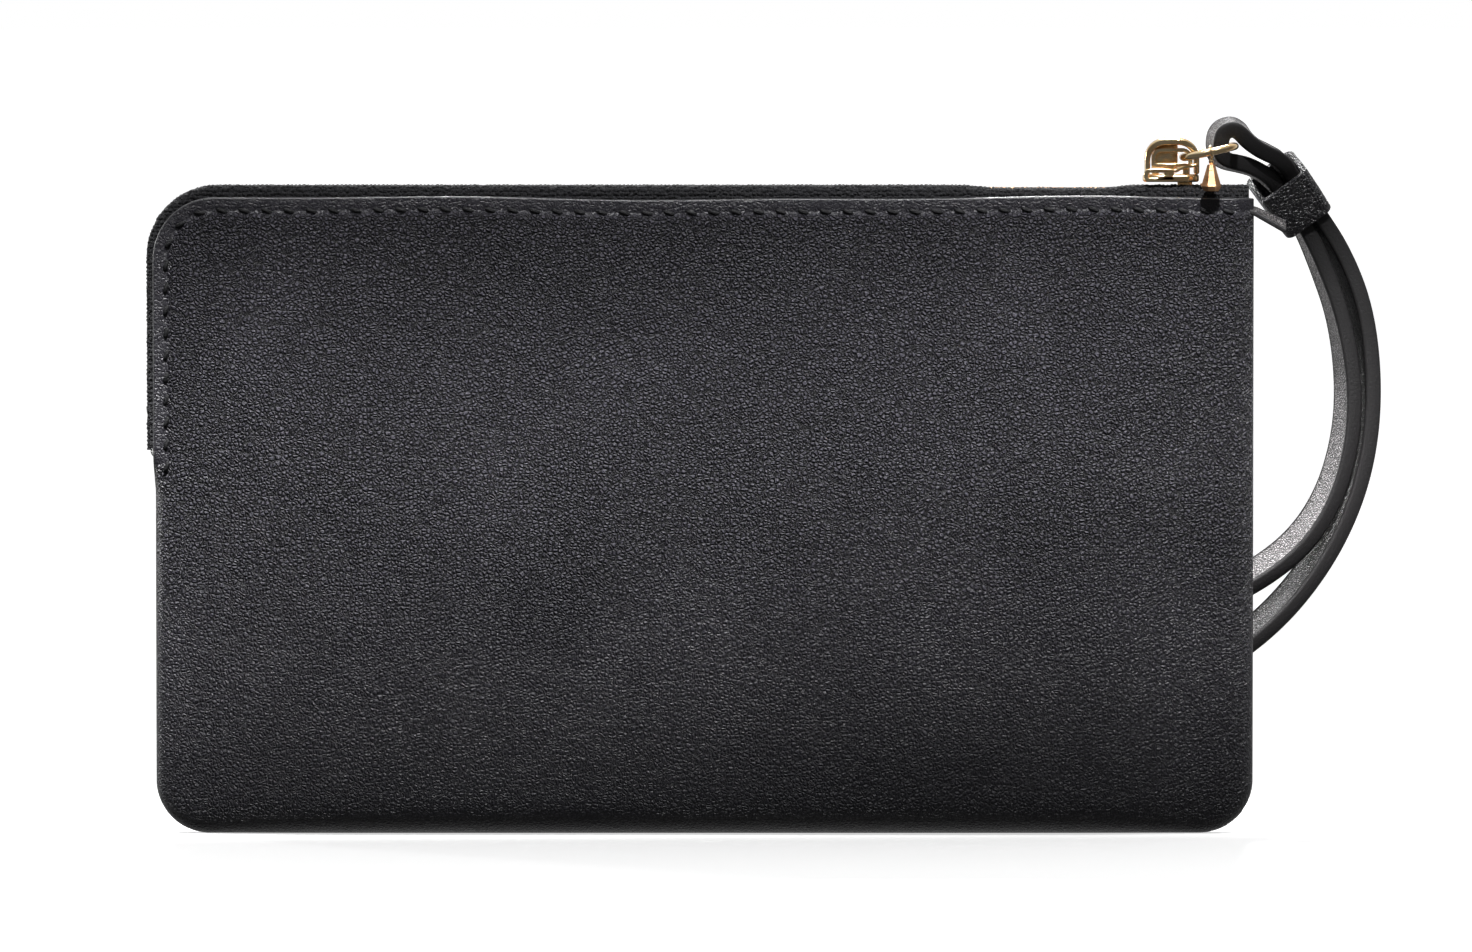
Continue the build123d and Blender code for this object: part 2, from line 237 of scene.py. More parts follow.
def math_node(material, operation, first, second):
    """Math node of two sockets or numbers."""
    node = material.node_tree.nodes.new("ShaderNodeMath")
    node.operation = operation
    for socket, value in zip(node.inputs, (first, second)):
        if isinstance(value, (int, float)):
            socket.default_value = value
        else:
            link(material, value, socket)
    return node.outputs[0]


def ramp(material, source, stops):
    """Colour ramp through (place, colour) stops."""
    node = material.node_tree.nodes.new("ShaderNodeValToRGB")
    bar = node.color_ramp
    while len(bar.elements) < len(stops):
        bar.elements.new(0.5)
    for element, (place, colour) in zip(bar.elements, stops):
        element.position = place
        element.color = (*colour, 1.0)
    link(material, source, node.inputs[0])
    return node.outputs[0]


def bump(material, shader, height, distance, strength=1.0):
    """Feeds a height, in parts of distance, into the shader's normal."""
    node = add_node(material, "ShaderNodeBump", Strength=strength, Distance=distance)
    link(material, height, node.inputs["Height"])
    link(material, node.outputs["Normal"], shader.inputs["Normal"])


def object_place(material, stretch=(1, 1, 1)):
    """Object coordinates, stretched."""
    place = material.node_tree.nodes.new("ShaderNodeTexCoord")
    mapping = add_node(material, "ShaderNodeMapping", Scale=stretch)
    link(material, place.outputs["Object"], mapping.inputs["Vector"])
    return mapping.outputs["Vector"]


def wobbled(material, place, scale, amount):
    """Coordinates pushed about by a noise, so that cells lose their regular look."""
    wobble = add_node(material, "ShaderNodeTexNoise", Scale=scale, Detail=2.0)
    link(material, place, wobble.inputs["Vector"])
    node = material.node_tree.nodes.new("ShaderNodeMixRGB")
    node.blend_type = "LINEAR_LIGHT"
    node.inputs["Fac"].default_value = amount
    link(material, place, node.inputs["Color1"])
    link(material, wobble.outputs["Color"], node.inputs["Color2"])
    return node.outputs["Color"]


def leather(name, dark, light, roughness, cell, depth, mask=None, specular=0.5, crease_shade=0.4):
    """Grained leather: irregular cells with creases between them, darkened in colour partly as the leather's
    own tone and partly as painted shade, and slow changes of tone.

    mask names a mesh attribute that sets how deep the relief is; where it is low, the creases give way to a
    flat grey that darkens the colour, as painted shade."""
    material, shader = new_material(name, dark, roughness, specular=specular)
    place = wobbled(material, object_place(material), 0.6 / cell, cell * 0.45)
    cells = add_node(material, "ShaderNodeTexVoronoi", Scale=1.0 / cell)
    cells.feature = "DISTANCE_TO_EDGE"
    link(material, place, cells.inputs["Vector"])
    crease = ramp(material, cells.outputs["Distance"],
                  [(0.0, (0, 0, 0)), (0.1, (0.32, 0.32, 0.32)), (0.32, (1, 1, 1))])
    fine = add_node(material, "ShaderNodeTexNoise", Scale=2.6 / cell, Detail=3.0, Roughness=0.6)
    link(material, object_place(material), fine.inputs["Vector"])
    patches = add_node(material, "ShaderNodeTexNoise", Scale=38.0, Detail=2.0, Roughness=0.5)
    link(material, object_place(material), patches.inputs["Vector"])
    strength = ramp(material, patches.outputs["Fac"], [(0.35, (0.5, 0.5, 0.5)), (0.65, (1, 1, 1))])
    height = math_node(material, "ADD", crease, math_node(material, "MULTIPLY", fine.outputs["Fac"], 0.9))
    height = math_node(material, "MULTIPLY", height, strength)
    if mask:
        named = material.node_tree.nodes.new("ShaderNodeAttribute")
        named.attribute_name = mask
        height = math_node(material, "MULTIPLY", height, named.outputs["Fac"])
        # Painted shade: where the mask is low, the colour is multiplied by a flat dark grey in place of the
        # creases.
        softened_and_shaded = material.node_tree.nodes.new("ShaderNodeMixRGB")
        softened_and_shaded.inputs["Color1"].default_value = (0.3, 0.3, 0.3, 1.0)
        link(material, named.outputs["Fac"], softened_and_shaded.inputs["Fac"])
        link(material, crease, softened_and_shaded.inputs["Color2"])
        crease = softened_and_shaded.outputs["Color"]
    bump(material, shader, height, depth)
    tone = add_node(material, "ShaderNodeTexNoise", Scale=17.0, Detail=4.0, Roughness=0.55)
    link(material, object_place(material), tone.inputs["Vector"])
    colour = ramp(material, tone.outputs["Fac"], [(0.3, dark), (0.7, light)])
    # Painted shade in part: the creases multiply the colour down by crease_shade.
    shade = material.node_tree.nodes.new("ShaderNodeMixRGB")
    shade.blend_type = "MULTIPLY"
    shade.inputs["Fac"].default_value = crease_shade
    link(material, colour, shade.inputs["Color1"])
    link(material, crease, shade.inputs["Color2"])
    link(material, shade.outputs["Color"], shader.inputs["Base Color"])
    rough = ramp(material, fine.outputs["Fac"],
                 [(0.3, (roughness - 0.06,) * 3), (0.7, (roughness + 0.1,) * 3)])
    link(material, rough, shader.inputs["Roughness"])
    return material


def metal(name, colour, worn, roughness):
    """Plated metal with faint brushing and slightly darker patches."""
    material, shader = new_material(name, colour, roughness, metallic=1.0)
    scratch = add_node(material, "ShaderNodeTexNoise", Scale=900.0, Detail=3.0)
    link(material, object_place(material, (1, 1, 6)), scratch.inputs["Vector"])
    patches = add_node(material, "ShaderNodeTexNoise", Scale=260.0, Detail=3.0)
    link(material, object_place(material), patches.inputs["Vector"])
    tint = ramp(material, patches.outputs["Fac"], [(0.35, worn), (0.6, colour)])
    link(material, tint, shader.inputs["Base Color"])
    rough = ramp(material, scratch.outputs["Fac"],
                 [(0.3, (roughness * 0.7,) * 3), (0.7, (roughness * 1.5,) * 3)])
    link(material, rough, shader.inputs["Roughness"])
    bump(material, shader, scratch.outputs["Fac"], 0.01 * MM)
    return material


def woven(name, dark, light, thread, depth, roughness=0.85, sheen=0.1):
    """Woven cloth: close rounded knots of thread, with loose fibres between them."""
    material, shader = new_material(name, dark, roughness, specular=0.25)
    shader.inputs["Sheen Weight"].default_value = sheen
    shader.inputs["Sheen Roughness"].default_value = 0.5
    place = wobbled(material, object_place(material, (1.0, 0.55, 1.0)), 0.8 / thread, thread * 0.3)
    knots = add_node(material, "ShaderNodeTexVoronoi", Scale=1.0 / thread, Randomness=0.55)
    link(material, place, knots.inputs["Vector"])
    round_knots = ramp(material, knots.outputs["Distance"],
                       [(0.05, (1, 1, 1)), (0.4, (0.6, 0.6, 0.6)), (0.75, (0, 0, 0))])
    fibres = add_node(material, "ShaderNodeTexNoise", Scale=2.2 / thread, Detail=4.0)
    link(material, object_place(material), fibres.inputs["Vector"])
    loose = math_node(material, "MULTIPLY", fibres.outputs["Fac"], 0.7)
    height = math_node(material, "ADD", round_knots, loose)
    bump(material, shader, height, depth)
    colour = ramp(material, fibres.outputs["Fac"], [(0.3, dark), (0.75, light)])
    link(material, colour, shader.inputs["Base Color"])
    return material


PANEL_LEATHER = leather("panel_leather", (0.028, 0.0262, 0.036), (0.044, 0.0412, 0.054), 0.44, 0.58 * MM,
                        0.8 * MM, mask="grain_and_shade", specular=0.4, crease_shade=1.0)
STRAP_EDGE = leather("strap_edge", (0.003, 0.0024, 0.003), (0.0065, 0.0053, 0.0062), 0.62,
                     0.7 * MM, 0.02 * MM)
# Painted sheen and shade: the strap is black leather on both faces; its outer face is painted light grey as
# painted sheen, its inner side is a darker copy painted as shade.
STRAP_FACE_PAINTED_SHEEN = leather("strap_face_painted_sheen", (0.22, 0.205, 0.208), (0.38, 0.355, 0.36), 0.5,
                     0.46 * MM, 0.5 * MM, crease_shade=0.95)
STRAP_INNER_PAINTED_SHADE = leather("strap_inner_painted_shade", (0.035, 0.032, 0.0335), (0.065, 0.06, 0.062), 0.52,
                     0.46 * MM, 0.5 * MM, crease_shade=1.0)
KEEPER_LEATHER = leather("keeper_leather", (0.013, 0.012, 0.0155), (0.022, 0.0204, 0.026), 0.38,
                         0.6 * MM, 0.3 * MM)
CUT_EDGE = leather("cut_edge", (0.02, 0.02, 0.022), (0.042, 0.042, 0.046), 0.45, 0.5 * MM, 0.02 * MM)
TAPE_CLOTH = woven("tape_cloth", (0.002, 0.002, 0.0025), (0.014, 0.014, 0.017), 0.6 * MM, 0.5 * MM,
                   sheen=0.05)
THREAD = woven("thread", (0.002, 0.002, 0.0025), (0.006, 0.006, 0.007), 0.3 * MM, 0.04 * MM, 0.7, sheen=0.0)
LINING_CLOTH = woven("lining_cloth", (0.012, 0.012, 0.016), (0.03, 0.03, 0.036), 0.4 * MM, 0.05 * MM)
FOLD_CLOTH = woven("fold_cloth", (0.2, 0.2, 0.2), (0.4, 0.4, 0.39), 0.35 * MM, 0.06 * MM)
POCKET_CLOTH = woven("pocket_cloth", (0.016, 0.015, 0.018), (0.035, 0.033, 0.038), 0.45 * MM, 0.05 * MM)
BOARD = woven("pressed_board", (0.42, 0.39, 0.33), (0.6, 0.57, 0.5), 0.9 * MM, 0.02 * MM)
GOLD = metal("pale_gold", (1.0, 0.8, 0.5), (0.85, 0.58, 0.3), 0.15)
ROSE_GOLD = metal("rose_gold", (0.78, 0.47, 0.26), (0.42, 0.21, 0.1), 0.36)
PAINTED_SHADE_GOLD = metal("shaded_gold", (0.06, 0.035, 0.02), (0.03, 0.018, 0.01), 0.5)
BRASS = metal("tooth_brass", (0.45, 0.24, 0.1), (0.25, 0.12, 0.045), 0.42)


# ---- Zip path ----

class ZipPath:
    """Up the left side, round the top left corner and along the top, at one inset."""

    def __init__(self, left, top, radius, low, right):
        self.left = left
        self.top = top
        self.radius = radius
        self.low = low
        self.rise = top - radius - low
        self.arc = radius * math.pi / 2
        self.length = self.rise + self.arc + right - left - radius

    def at(self, run):
        """Place (x, z) and heading (x, z) at a distance along the path."""
        if run <= self.rise:
            return (self.left, self.low + run), (0.0, 1.0)
        if run >= self.rise + self.arc:
            return (self.left + self.radius + run - self.rise - self.arc, self.top), (1.0, 0.0)
        angle = (run - self.rise) / self.radius
        x = self.left + self.radius * (1 - math.cos(angle))
        z = self.top - self.radius * (1 - math.sin(angle))
        return (x, z), (math.sin(angle), math.cos(angle))


STITCH_PATH = ZipPath(LEFT + STITCH_IN, TOP - STITCH_IN, CORNER_TOP - STITCH_IN, ZIP_LOW - 3.4 * MM,
                      RIGHT - 1.6 * MM)


# ---- Leather panels ----

def roll_rise(inset, width):
    """Share of the full depth at a distance inside a turned seam."""
    t = np.clip(1.0 - inset / width, 0.0, 1.0)
    return (1.0 - t ** ROLL_POWER) ** (1.0 / ROLL_POWER)


def roll_inset(run, width):
    """Distance inside a turned seam, at an even step round its roll."""
    angle = np.clip(run / width, 0.0, 1.0) * math.pi / 2
    rolled = width * (1.0 - np.maximum(np.cos(angle), 0.0) ** (2.0 / ROLL_POWER))
    return np.where(run < width, rolled, run)


def zip_inset(x, z):
    """Distance inside the leather's zip edge."""
    from_left = x - LEFT
    from_top = TOP - z
    corner = CORNER_TOP - np.hypot(CORNER_TOP - from_left, CORNER_TOP - from_top)
    in_corner = (from_left < CORNER_TOP) & (from_top < CORNER_TOP)
    return np.where(in_corner, corner, np.minimum(from_left, from_top))


def zip_run(x, z):
    """Distance along the zip edge of the nearest place on the stitch path."""
    path = STITCH_PATH
    centre_x = LEFT + CORNER_TOP
    centre_z = TOP - CORNER_TOP
    angle = np.arctan2(z - centre_z, centre_x - x)
    run = np.where(z < centre_z, z - path.low, path.rise + angle * path.radius)
    return np.where(x > centre_x, path.rise + path.arc + x - centre_x, run)


def closed_left(z):
    """1 where the left side is a turned seam, 0 beside the zip."""
    return 1.0 - smooth(ZIP_LOW - 7.5 * MM, ZIP_LOW - 0.5 * MM, z)


def waves(x, z, side):
    """Slow hollows and swells of a soft panel, in metres."""
    a = np.sin(x / (19 * MM) + side * 0.7 + 1.3 * np.sin(z / (23 * MM)))
    b = np.sin(z / (14 * MM) + 0.8 * np.sin(x / (31 * MM) + side) + 2.0)
    c = np.sin((x + 0.7 * z) / (11.5 * MM) + side)
    return (0.13 * a + 0.1 * b + 0.05 * c) * MM


def edge_ripple(x):
    """Slow rise and fall of the leather's top edge."""
    return (0.22 * np.sin((x - 30 * MM) / (17 * MM)) + 0.12 * np.sin(x / (7.3 * MM))) * MM


# Shares of the belly at distances in mm: down from the top, then in from a side.
ZIP_FALL = ((0.0, 0.0), (8.0, 0.0), (14.0, 0.12), (20.0, 0.32), (26.0, 0.55), (33.0, 0.8), (44.0, 0.96),
            (55.0, 1.0))
SIDE_FALL = ((0.0, 0.0), (6.0, 0.05), (11.0, 0.28), (17.0, 0.6), (23.0, 0.86), (32.0, 0.97), (45.0, 1.0))


def fall(distance, stops):
    """Share of the belly at a distance from an edge, softened between the stops."""
    away = [stop[0] * MM for stop in stops]
    share = [stop[1] for stop in stops]
    near = [np.interp(distance + shift * MM, away, share) for shift in (-3.0, -1.5, 0.0, 1.5, 3.0)]
    return sum(near) / 5


def belly_depth(x, z):
    """Soft form of the filled pouch: flat strips at the zip and side seams, and a belly between them."""
    down = fall(TOP - z, ZIP_FALL) * (BELLY - EDGE)
    across = fall(np.minimum(x - LEFT, RIGHT - x), SIDE_FALL) * (BELLY - EDGE)
    soft = 0.5 * MM
    share = np.clip(0.5 + (across - down) / (2 * soft), 0.0, 1.0)
    return EDGE + across * (1 - share) + down * share - soft * share * (1 - share)


def panel_depth(x, z, side, square=None):
    """Outer face's distance from the middle plane. square is (x, z) before the corners were rounded."""
    square_x, square_z = square if square else (x, z)
    inset = zip_inset(x, z)
    open_side = np.where(z > ZIP_LOW - 4 * MM, inset, TOP - z)
    past = np.maximum(open_side - STITCH_IN, 0.0)
    puff = 0.5 * MM * (1.0 - np.exp(-past / (1.2 * MM))) - 0.25 * MM * smooth(3 * MM, 14 * MM, past)
    sag = 0.6 * MM * smooth(46 * MM, 9 * MM, z)
    depth = belly_depth(x, z) + puff - sag
    phase = 2 * math.pi * zip_run(x, z) / STITCH_PITCH
    groove = np.exp(-((inset - STITCH_IN - 0.1 * MM) / (0.5 * MM)) ** 2)
    pull = 0.12 * MM + 0.1 * MM * np.cos(phase)
    on_line = smooth(STITCH_PATH.low - 2 * MM, STITCH_PATH.low, z)
    depth = depth - groove * pull * on_line
    depth = depth + waves(x, z, side) * smooth(2 * MM, 14 * MM, open_side)
    left = 1.0 - closed_left(square_z) * (1.0 - roll_rise(square_x - LEFT, ROLL_SIDE))
    return depth * left * roll_rise(RIGHT - square_x, ROLL_SIDE) * roll_rise(square_z, ROLL_BASE)


def corner_map(x, z, centre, radius, way):
    """Bends the square corner outside a centre into a round one. way is the corner's (x, z) direction."""
    u = np.clip((x - centre[0]) * way[0] / radius, 0.0, 1.0)
    v = np.clip((z - centre[1]) * way[1] / radius, 0.0, 1.0)
    inside = ((x - centre[0]) * way[0] > 0) & ((z - centre[1]) * way[1] > 0)
    new_x = centre[0] + way[0] * radius * u * np.sqrt(1 - v * v / 2)
    new_z = centre[1] + way[1] * radius * v * np.sqrt(1 - u * u / 2)
    return np.where(inside, new_x, x), np.where(inside, new_z, z)


def steps(low, high, fine, coarse, band_low, band_high):
    """Places from low to high: fine within a band of each end, coarse between."""
    places = [low]
    while places[-1] < high - 1e-9:
        here = places[-1]
        size = fine if here < low + band_low or here > high - band_high else coarse
        places.append(min(here + size, high))
    return np.array(places)


def panel_grid():
    """Places (x, z) of the panel's vertices, and the same places before the corners were rounded."""
    columns = steps(LEFT, RIGHT, 0.28 * MM, 0.55 * MM, 7 * MM, 5 * MM)
    rows = steps(0.0, TOP, 0.28 * MM, 0.6 * MM, 7 * MM, 8 * MM)
    x, z = np.meshgrid(columns, rows)
    z = roll_inset(z, ROLL_BASE)
    x = RIGHT - roll_inset(RIGHT - x, ROLL_SIDE)
    rolled = LEFT + roll_inset(x - LEFT, ROLL_SIDE)
    share = closed_left(z)
    x = x * (1 - share) + rolled * share
    square = (x, z)
    radius = CORNER_BASE
    x, z = corner_map(x, z, (LEFT + radius, radius), radius, (-1, -1))
    x, z = corner_map(x, z, (RIGHT - radius, radius), radius, (1, -1))
    x, z = corner_map(x, z, (LEFT + CORNER_TOP, TOP - CORNER_TOP), CORNER_TOP, (-1, 1))
    return x, z, square


# Rows of the leather's rim in mm: (out past the border, in towards the middle). The first ones are cut edge.
RIM = ((0.1, 0.06), (0.19, 0.25), (0.22, 0.5), (0.2, 0.78), (0.1, 1.0), (-0.05, 1.1), (-1.2, 1.12),
       (-4.0, 1.15))
RIM_ROWS_CUT = 4


def leather_panel(name, side):
    """Soft panel: a rolled seam below and at the sides, and a cut edge along the zip."""
    x, z, square = panel_grid()
    depth = panel_depth(x, z, side, square)
    lift = edge_ripple(x) * smooth(12 * MM, 0.0, TOP - z) * smooth(RIGHT, RIGHT - 8 * MM, x)
    vertices = np.stack([x, side * depth, z + lift], axis=-1)
    rows, columns = x.shape
    faces = []
    for row in range(rows - 1):
        for column in range(columns - 1):
            corner = row * columns + column
            faces.append((corner, corner + 1, corner + columns + 1, corner + columns))
    points = [tuple(v) for v in vertices.reshape(-1, 3)]
    first_open = int(np.argmax(closed_left(z[:, 0]) < 0.999))
    chain = [row * columns for row in range(first_open, rows)]
    chain += [(rows - 1) * columns + column for column in range(1, columns)]
    leather_faces = len(faces)
    add_rim(points, faces, chain, side)
    panel = mesh_piece(name, points, faces)
    for index in range(leather_faces, leather_faces + RIM_ROWS_CUT * (len(chain) - 1)):
        panel.data.polygons[index].material_index = 1
    flat = (x.ravel(), z.ravel())
    inset = zip_inset(*flat)
    inset = inset + smooth(ZIP_LOW - 2 * MM, ZIP_LOW - 5 * MM, flat[1]) * TOP
    # Painted shade: low shares here also darken the colour, near the zip edge and towards the bottom.
    grain_and_shade_share = 0.12 + 0.88 * smooth(STITCH_IN, STITCH_IN + 1.2 * MM, inset)
    grain_and_shade_share = grain_and_shade_share * (0.3 + 0.7 * smooth(22 * MM, 50 * MM, flat[1]))
    grain_and_shade = np.zeros(len(points), dtype=np.float32)
    grain_and_shade[:grain_and_shade_share.size] = grain_and_shade_share
    panel.data.attributes.new("grain_and_shade", "FLOAT", "POINT").data.foreach_set("value", grain_and_shade)
    return panel


def add_rim(points, faces, chain, side):
    """Rounds a chain of border vertices over and down inside the panel."""
    previous = chain
    base = [Vector(points[index]) for index in chain]
    for out, inward in RIM:
        row = []
        for index, place in enumerate(base):
            heading = base[min(index + 1, len(base) - 1)] - base[max(index - 1, 0)]
            flat = Vector((-heading.z, 0, heading.x)).normalized()
            depth = abs(place.y)
            new_depth = max(depth - inward * MM, 0.25 * depth)
            new = place + flat * (out * MM * min(1.0, depth / EDGE))
            row.append(len(points))
            points.append((new.x, side * new_depth, new.z))
        for index in range(len(row) - 1):
            faces.append((previous[index], previous[index + 1], row[index + 1], row[index]))
        previous = row


# ---- Stitches ----

def capsule(length, radius):
    """Vertices and faces of a thread lying along X, with round ends that dip."""
    vertices = []
    rings = 9
    sides = 8
    for ring in range(rings):
        along = -1.0 + 2.0 * ring / (rings - 1)
        width = radius * max(1.0 - abs(along) ** 5, 0.06)
        sink = -0.9 * radius * abs(along) ** 3
        for side in range(sides):
            angle = 2 * math.pi * side / sides
            twist = 1.0 + 0.12 * math.cos(2 * angle + 7.0 * along)
            outward = sink + width * twist * math.cos(angle)
            vertices.append((along * length / 2, outward, 1.25 * width * math.sin(angle)))
    return vertices, band_faces(rings, sides)


def along_path(path, shape, pitch, start, count, place_depth, slant=0.0, nod=0.0):
    """Copies of (vertices, faces), whose X runs along the path and whose Y points outwards in depth."""
    vertices = []
    faces = []
    for index in range(count):
        (x, z), (hx, hz) = path.at(start + index * pitch)
        depth, side = place_depth(x, z)
        tilt = math.radians(slant + nod * math.sin(index * 2.4))
        cos_tilt, sin_tilt = math.cos(tilt), math.sin(tilt)
        base = len(vertices)
        for along, outward, up in shape[0]:
            run = along * cos_tilt - up * sin_tilt
            rise = along * sin_tilt + up * cos_tilt
            vertices.append((x + run * hx - rise * hz, side * (depth + outward), z + run * hz + rise * hx))
        faces += [tuple(base + corner for corner in face) for face in shape[1]]
    return vertices, faces


def stitching(name, side):
    """One slanted stitch for every pitch of the line."""
    shape = capsule(STITCH_LENGTH, THREAD_RADIUS)
    count = int((STITCH_PATH.length - 1.5 * MM) / STITCH_PITCH) + 1

    def depth(x, z):
        surface = float(panel_depth(np.array(x), np.array(z), side))
        return surface + 0.14 * MM, side

    ripple_free = along_path(STITCH_PATH, shape, STITCH_PITCH, 1.0 * MM, count, depth, STITCH_SLANT, nod=3.0)
    vertices = [(x, y, z + float(edge_ripple(np.array(x)) * smooth(12 * MM, 0.0, TOP - z)))
                for x, y, z in ripple_free[0]]
    return mesh_piece(name, vertices, ripple_free[1])


# ---- Zip tapes and teeth ----

# Tape's section in mm: (out from its folded edge, distance from the middle plane).
TAPE_SECTION = ((-8.0, 2.62), (-4.0, 2.66), (-2.4, 2.7), (-1.7, 2.74), (-1.1, 2.72), (-0.6, 2.6),
                (-0.25, 2.35), (-0.06, 1.95), (0.0, 1.55), (-0.08, 1.2), (-0.35, 1.08), (-0.6, 1.3),
                (-0.75, 1.75), (-1.1, 2.1), (-1.7, 2.2), (-4.0, 2.2), (-8.0, 2.15))
TOOTH_PITCH = 2.12 * MM
TOOTH_LENGTH = 0.95 * MM
TOOTH_REACH = 2.1 * MM
TOOTH_TALL = 1.3 * MM


def zip_tape(name, side):
    """Uneven woven tape that turns over towards the teeth, and dips a little before the slider."""
    path = ZipPath(TAPE_LEFT, TAPE_TOP, 10.5 * MM, ZIP_LOW, RIGHT - 0.6 * MM)
    section = np.array(TAPE_SECTION) * MM
    step = 0.2 * MM
    count = int(path.length / step)
    vertices = []
    for index in range(count + 1):
        run = index * step
        (x, z), (hx, hz) = path.at(run)
        narrow = float(roll_rise(np.array(RIGHT - x), ROLL_SIDE * 1.2))
        dip = float(smooth(38 * MM, 44 * MM, x) * smooth(65 * MM, 60 * MM, x)) if hx > 0.99 else 0.0
        for number, (out, depth) in enumerate(section):
            rib = math.sin(2 * math.pi * run / (0.62 * MM) + 2.4 * (number % 2))
            uneven = noise.noise(Vector((run * 900, number * 0.9, side * 3.0)))
            bulge = (0.09 * rib + 0.15 * uneven) * MM if 2 < number < 11 else 0.0
            away = out + bulge - (0.38 * MM * dip if out > -1.0 * MM else 0.0)
            vertices.append((x - hz * away, side * (depth + bulge * 0.5) * narrow, z + hx * away))
    return mesh_piece(name, vertices, band_faces(count + 1, len(section)))


def tooth_shape(length, reach, tall):
    """Vertices and faces of one rounded tooth: X along the chain, Y across it."""
    shape = bmesh.new()
    bmesh.ops.create_cube(shape, size=1.0)
    bmesh.ops.scale(shape, vec=(length, reach, tall), verts=shape.verts)
    bmesh.ops.bevel(shape, geom=shape.edges[:], offset=0.22 * length, segments=2, affect="EDGES", profile=0.5)
    vertices = [tuple(v.co) for v in shape.verts]
    faces = [tuple(v.index for v in f.verts) for f in shape.faces]
    shape.free()
    return vertices, faces


def zip_teeth(name, side):
    """One row of teeth, clamped on its tape and meshed with the other row."""
    chain_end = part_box("zip_teeth_back")[1][0]
    path = ZipPath(TAPE_LEFT + 1.0 * MM, TAPE_TOP - 1.0 * MM, 9.5 * MM, ZIP_LOW + 3 * MM, chain_end)
    start = TOOTH_LENGTH / 2 if side < 0 else (TOOTH_LENGTH + TOOTH_PITCH) / 2
    count = int((path.length - start) / TOOTH_PITCH) + 1
    shape = tooth_shape(TOOTH_LENGTH, TOOTH_REACH, TOOTH_TALL)

    def middle(x, z):
        return 0.5 * MM, side

    return mesh_piece(name, *along_path(path, shape, TOOTH_PITCH, start, count, middle))


def bottom_stop():
    """Folded staple at the zip's lower end."""
    low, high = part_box("zip_bottom_stop")
    left = low[0] + 0.7 * MM
    outline = rectangle(left, low[2], high[0], high[2])
    return bevelled(extruded("bottom_stop", outline, low[1] * 0.8, high[1] * 0.8), 0.3 * MM)


def lining_fold():
    """Small turned-over end of the lining that shows below the zip tape."""
    line = [(-81.4, -2.2, 58.3), (-81.9, -2.35, 57.6), (-81.95, -2.3, 56.9), (-81.2, -2.1, 56.3),
            (-79.8, -1.8, 55.9)]
    points = [Vector(point) * MM for point in line]
    return tube("fold", points, 0.34 * MM, 10)


# ---- Slider ----

# The wedge and the two posts in mm: left, right, bottom, top and half depth.
SLIDER_POSTS = ((71.0, 73.2, 95.5, 97.4, 0.6), (67.2, 68.2, 98.45, 99.5, 1.3), (71.8, 72.8, 98.45, 99.5, 1.3))


def slider_body():
    """Plates of the slider, their wedge, the posts under the cap and the slotted near cheek."""
    low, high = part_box("slider_body")
    plate_low = 97.35 * MM
    plate_high = 98.5 * MM
    under_thick = 0.5 * MM
    corners = rectangle(low[0], low[1], high[0], high[1])
    top = extruded("plate", rounded_outline(corners, (2.2 * MM,) * 4), plate_low, plate_high, axis="Z")
    narrower = rounded_outline([(x, y * 0.7) for x, y in corners], (1.6 * MM,) * 4)
    under = extruded("under", narrower, low[2], low[2] + under_thick, axis="Z")
    parts = [bevelled(top, 0.35 * MM), bevelled(under, 0.25 * MM)]
    for left, right, bottom, upper, half in SLIDER_POSTS:
        outline = rectangle(left * MM, bottom * MM, right * MM, upper * MM)
        parts.append(bevelled(extruded("post", outline, -half * MM, half * MM), 0.15 * MM, 2))
    cheek = rounded_outline(rectangle(65.85 * MM, 97.4 * MM, 70.4 * MM, 99.35 * MM),
                            (0.9 * MM, 0.2 * MM, 0.5 * MM, 0.9 * MM))
    slot = rounded_outline(rectangle(66.5 * MM, 98.0 * MM, 68.9 * MM, 98.75 * MM), (0.35 * MM,) * 4)
    parts.append(bevelled(extruded("cheek", cheek, -3.0 * MM, -2.45 * MM, hole=slot), 0.15 * MM, 2))
    return joined(parts, "slider_plates")


def slider_cap():
    """Polished arch over the lever, with a far wall in dark gold as painted shade and a bent lug on its near
    side.
    """
    low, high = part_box("slider_cap")
    band = 0.78 * MM
    crown_band = 1.05 * MM
    left, right, base, crown = low[0], high[0], low[2], high[2]
    inner = rectangle(left + band, base, right - band, crown - crown_band)
    arch = rounded_outline(rectangle(left, base, right, crown), (0, 0, 3.0 * MM, 3.0 * MM), 14)
    hollow = rounded_outline(inner, (0, 0, 2.3 * MM, 2.3 * MM), 14)
    outline = arch[1:-1] + [arch[-1], arch[0]] + [hollow[0]] + hollow[:0:-1]
    cap = bevelled(extruded("cap", outline, -2.2 * MM, 2.2 * MM), 0.34 * MM, 4)
    lug_line = [(73.9, 99.9), (72.6, 99.75), (71.4, 99.5), (70.6, 98.95), (70.1, 99.15), (70.05, 99.7),
                (70.5, 100.0)]
    # Painted shade: the far wall is a dark gold plate standing in for the shadow inside the arch.
    wall_outline = rounded_outline(rectangle(67.2 * MM, 99.0 * MM, 71.1 * MM, 102.9 * MM),
                                   (0.1 * MM, 0.3 * MM, 0.3 * MM, 2.0 * MM))
    far_wall = bevelled(extruded("far_wall", wall_outline, 1.5 * MM, 2.0 * MM), 0.1 * MM, 2)
    # Both get two empty material slots, so that joining keeps the far wall's second one.
    for part in (far_wall, cap):
        part.data.materials.append(None)
        part.data.materials.append(None)
    for face in far_wall.data.polygons:
        face.material_index = 1
    lug = tube("lug", [Vector((x * MM, -2.5 * MM, z * MM)) for x, z in lug_line], 0.3 * MM)
    return joined([cap, lug, far_wall], "slider_arch")


